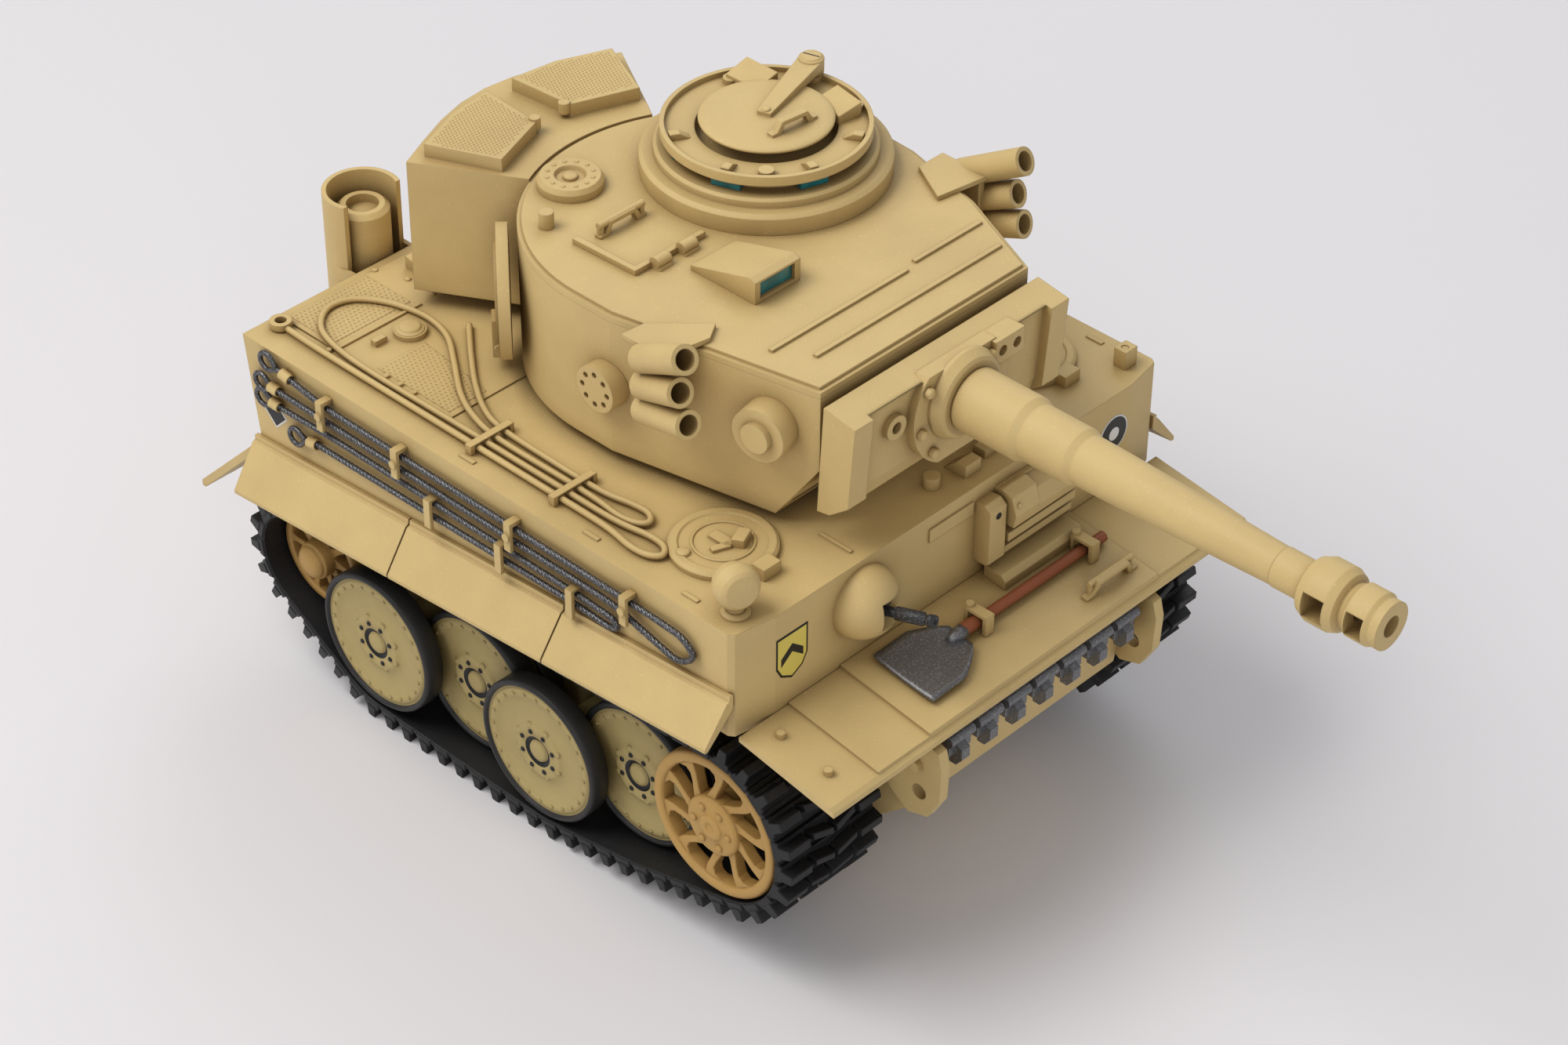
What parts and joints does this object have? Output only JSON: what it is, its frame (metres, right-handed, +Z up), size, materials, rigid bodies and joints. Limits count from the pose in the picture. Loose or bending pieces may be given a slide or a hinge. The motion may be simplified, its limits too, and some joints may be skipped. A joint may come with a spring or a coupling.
{
  "type": "remote control tank",
  "caption": "Palm-size remote control tank with overlapping road wheels, rubber tracks, a turning turret and a gun that raises and lowers.",
  "frame": {"origin": "centre of the whole tank's footprint, at ground level under the tracks", "axes": "+Z up, +Y towards the rear, the gun points to -Y; the tank's right side is at -X"},
  "size_m": [0.1348, 0.254, 0.131],
  "materials": {
    "sand": "matte",
    "dark_steel": "satin",
    "handle_brown": "satin",
    "cable_metal": "satin",
    "steel": "satin",
    "pack_blue": "gloss",
    "board_green": "satin",
    "inner_black": "matte",
    "gear_white": "satin",
    "track_rubber": "matte",
    "wheel_tan": "matte",
    "teal_glass": "gloss"
  },
  "bodies": {
    "hull": {"lower_hull": "sand", "belly_cover": "sand", "upper_hull": "sand", "front_fender_plate": "sand", "side_skirts": "sand", "engine_deck": "sand", "crew_hatches": "sand", "headlight": "sand", "mg_housing": "sand", "driver_visor": "sand", "tool_clips": "sand", "exhaust_shrouds": "sand", "tow_plates": "sand", "cable_fittings": "sand", "deck_cable": "sand", "shovel_blade": "dark_steel", "exhaust_pipes": "dark_steel", "spare_track_links": "dark_steel", "shovel_handle": "handle_brown", "tow_cables": "cable_metal", "stub_axles": "steel", "hull_screws": "steel", "motors": "steel", "battery_pack": "pack_blue", "control_board": "board_green", "gearbox_cases": "inner_black", "track_right": "track_rubber", "track_left": "track_rubber"},
    "switch": {"power_switch": "inner_black"},
    "mg": {"mg_barrel": "dark_steel"},
    "drive_r": {"drive_sprocket_right": "wheel_tan", "drive_gear_right": "gear_white"},
    "drive_l": {"drive_sprocket_left": "wheel_tan", "drive_gear_left": "gear_white"},
    "pinion_r": {"motor_pinion_right": "gear_white"},
    "pinion_l": {"motor_pinion_left": "gear_white"},
    "idler_r": {"idler_wheel_right": "wheel_tan"},
    "idler_l": {"idler_wheel_left": "wheel_tan"},
    "turret": {"turret_shell": "sand", "turret_roof": "sand", "ring_gear": "gear_white", "stowage_bin": "sand", "cupola": "sand", "periscope_glasses": "teal_glass", "turret_fittings": "sand", "smoke_launchers": "sand"},
    "turret_drive": {"turret_pinion": "gear_white"},
    "lid": {"cupola_hatch": "sand"},
    "side_hatch": {"escape_hatch": "sand"},
    "gun": {"mantlet": "sand", "gun_barrel": "sand", "muzzle_brake": "sand"},
    "wheel_r1": {"road_wheel_right_1": "wheel_tan"},
    "wheel_r2": {"road_wheel_right_2": "wheel_tan"},
    "wheel_r3": {"road_wheel_right_3": "wheel_tan"},
    "wheel_r4": {"road_wheel_right_4": "wheel_tan"},
    "wheel_l1": {"road_wheel_left_1": "wheel_tan"},
    "wheel_l2": {"road_wheel_left_2": "wheel_tan"},
    "wheel_l3": {"road_wheel_left_3": "wheel_tan"},
    "wheel_l4": {"road_wheel_left_4": "wheel_tan"}
  },
  "joints": [
    {"name": "switch_slide", "type": "slide", "parent": "hull", "child": "switch", "axis": [0, 1, 0], "range_m": [0, 0.0022]},
    {"name": "mg_tilt", "type": "hinge", "parent": "hull", "child": "mg", "pos_m": [-0.0275, -0.034, 0.073], "axis": [1, 0, 0], "range_deg": [-6, 6]},
    {"name": "drive_spin_r", "type": "hinge", "parent": "hull", "child": "drive_r", "pos_m": [-0.045, -0.0225, 0.0322], "axis": [1, 0, 0], "continuous": true},
    {"name": "drive_spin_l", "type": "hinge", "parent": "hull", "child": "drive_l", "pos_m": [0.045, -0.0225, 0.0322], "axis": [1, 0, 0], "continuous": true},
    {"name": "pinion_spin_r", "type": "hinge", "parent": "hull", "child": "pinion_r", "pos_m": [-0.024, -0.0097, 0.0322], "axis": [1, 0, 0], "continuous": true},
    {"name": "idler_spin_r", "type": "hinge", "parent": "hull", "child": "idler_r", "pos_m": [-0.048, 0.0965, 0.0285], "axis": [1, 0, 0], "continuous": true},
    {"name": "wheel_spin_r1", "type": "hinge", "parent": "hull", "child": "wheel_r1", "pos_m": [-0.048, 0.0743, 0.021], "axis": [1, 0, 0], "continuous": true},
    {"name": "wheel_spin_r2", "type": "hinge", "parent": "hull", "child": "wheel_r2", "pos_m": [-0.048, 0.0505, 0.021], "axis": [1, 0, 0], "continuous": true},
    {"name": "wheel_spin_r3", "type": "hinge", "parent": "hull", "child": "wheel_r3", "pos_m": [-0.048, 0.0262, 0.021], "axis": [1, 0, 0], "continuous": true},
    {"name": "wheel_spin_r4", "type": "hinge", "parent": "hull", "child": "wheel_r4", "pos_m": [-0.048, 0.0037, 0.025], "axis": [1, 0, 0], "continuous": true},
    {"name": "pinion_spin_l", "type": "hinge", "parent": "hull", "child": "pinion_l", "pos_m": [0.024, -0.0097, 0.0322], "axis": [1, 0, 0], "continuous": true},
    {"name": "idler_spin_l", "type": "hinge", "parent": "hull", "child": "idler_l", "pos_m": [0.048, 0.0965, 0.0285], "axis": [1, 0, 0], "continuous": true},
    {"name": "wheel_spin_l1", "type": "hinge", "parent": "hull", "child": "wheel_l1", "pos_m": [0.048, 0.0743, 0.021], "axis": [1, 0, 0], "continuous": true},
    {"name": "wheel_spin_l2", "type": "hinge", "parent": "hull", "child": "wheel_l2", "pos_m": [0.048, 0.0505, 0.021], "axis": [1, 0, 0], "continuous": true},
    {"name": "wheel_spin_l3", "type": "hinge", "parent": "hull", "child": "wheel_l3", "pos_m": [0.048, 0.0262, 0.021], "axis": [1, 0, 0], "continuous": true},
    {"name": "wheel_spin_l4", "type": "hinge", "parent": "hull", "child": "wheel_l4", "pos_m": [0.048, 0.0037, 0.025], "axis": [1, 0, 0], "continuous": true},
    {"name": "traverse", "type": "hinge", "parent": "hull", "child": "turret", "pos_m": [0, 0.035, 0.084], "axis": [0, 0, 1], "continuous": true},
    {"name": "turret_drive_spin", "type": "hinge", "parent": "hull", "child": "turret_drive", "pos_m": [0.0352, 0.035, 0.072], "axis": [0, 0, 1], "continuous": true},
    {"name": "hatch_swing", "type": "hinge", "parent": "turret", "child": "lid", "pos_m": [0.0378, 0.0454, 0.128], "axis": [0, 0, -1], "range_deg": [0, 100]},
    {"name": "elevation", "type": "hinge", "parent": "turret", "child": "gun", "pos_m": [0, -0.021, 0.1057], "axis": [-1, 0, 0], "range_deg": [-4, 10]},
    {"name": "side_hatch_drop", "type": "hinge", "parent": "turret", "child": "side_hatch", "pos_m": [-0.03136, 0.06324, 0.0874], "axis": [-0.6691, -0.7431, 0], "range_deg": [0, 75]}
  ],
  "couplings": [
    {"joint": "pinion_spin_r", "follows": "drive_spin_r", "ratio": -3},
    {"joint": "idler_spin_r", "follows": "drive_spin_r", "ratio": 1.416},
    {"joint": "wheel_spin_r1", "follows": "drive_spin_r", "ratio": 1},
    {"joint": "wheel_spin_r2", "follows": "drive_spin_r", "ratio": 1},
    {"joint": "wheel_spin_r3", "follows": "drive_spin_r", "ratio": 1},
    {"joint": "wheel_spin_r4", "follows": "drive_spin_r", "ratio": 1},
    {"joint": "pinion_spin_l", "follows": "drive_spin_l", "ratio": -3},
    {"joint": "idler_spin_l", "follows": "drive_spin_l", "ratio": 1.416},
    {"joint": "wheel_spin_l1", "follows": "drive_spin_l", "ratio": 1},
    {"joint": "wheel_spin_l2", "follows": "drive_spin_l", "ratio": 1},
    {"joint": "wheel_spin_l3", "follows": "drive_spin_l", "ratio": 1},
    {"joint": "wheel_spin_l4", "follows": "drive_spin_l", "ratio": 1},
    {"joint": "turret_drive_spin", "follows": "traverse", "ratio": -6.3333}
  ]
}
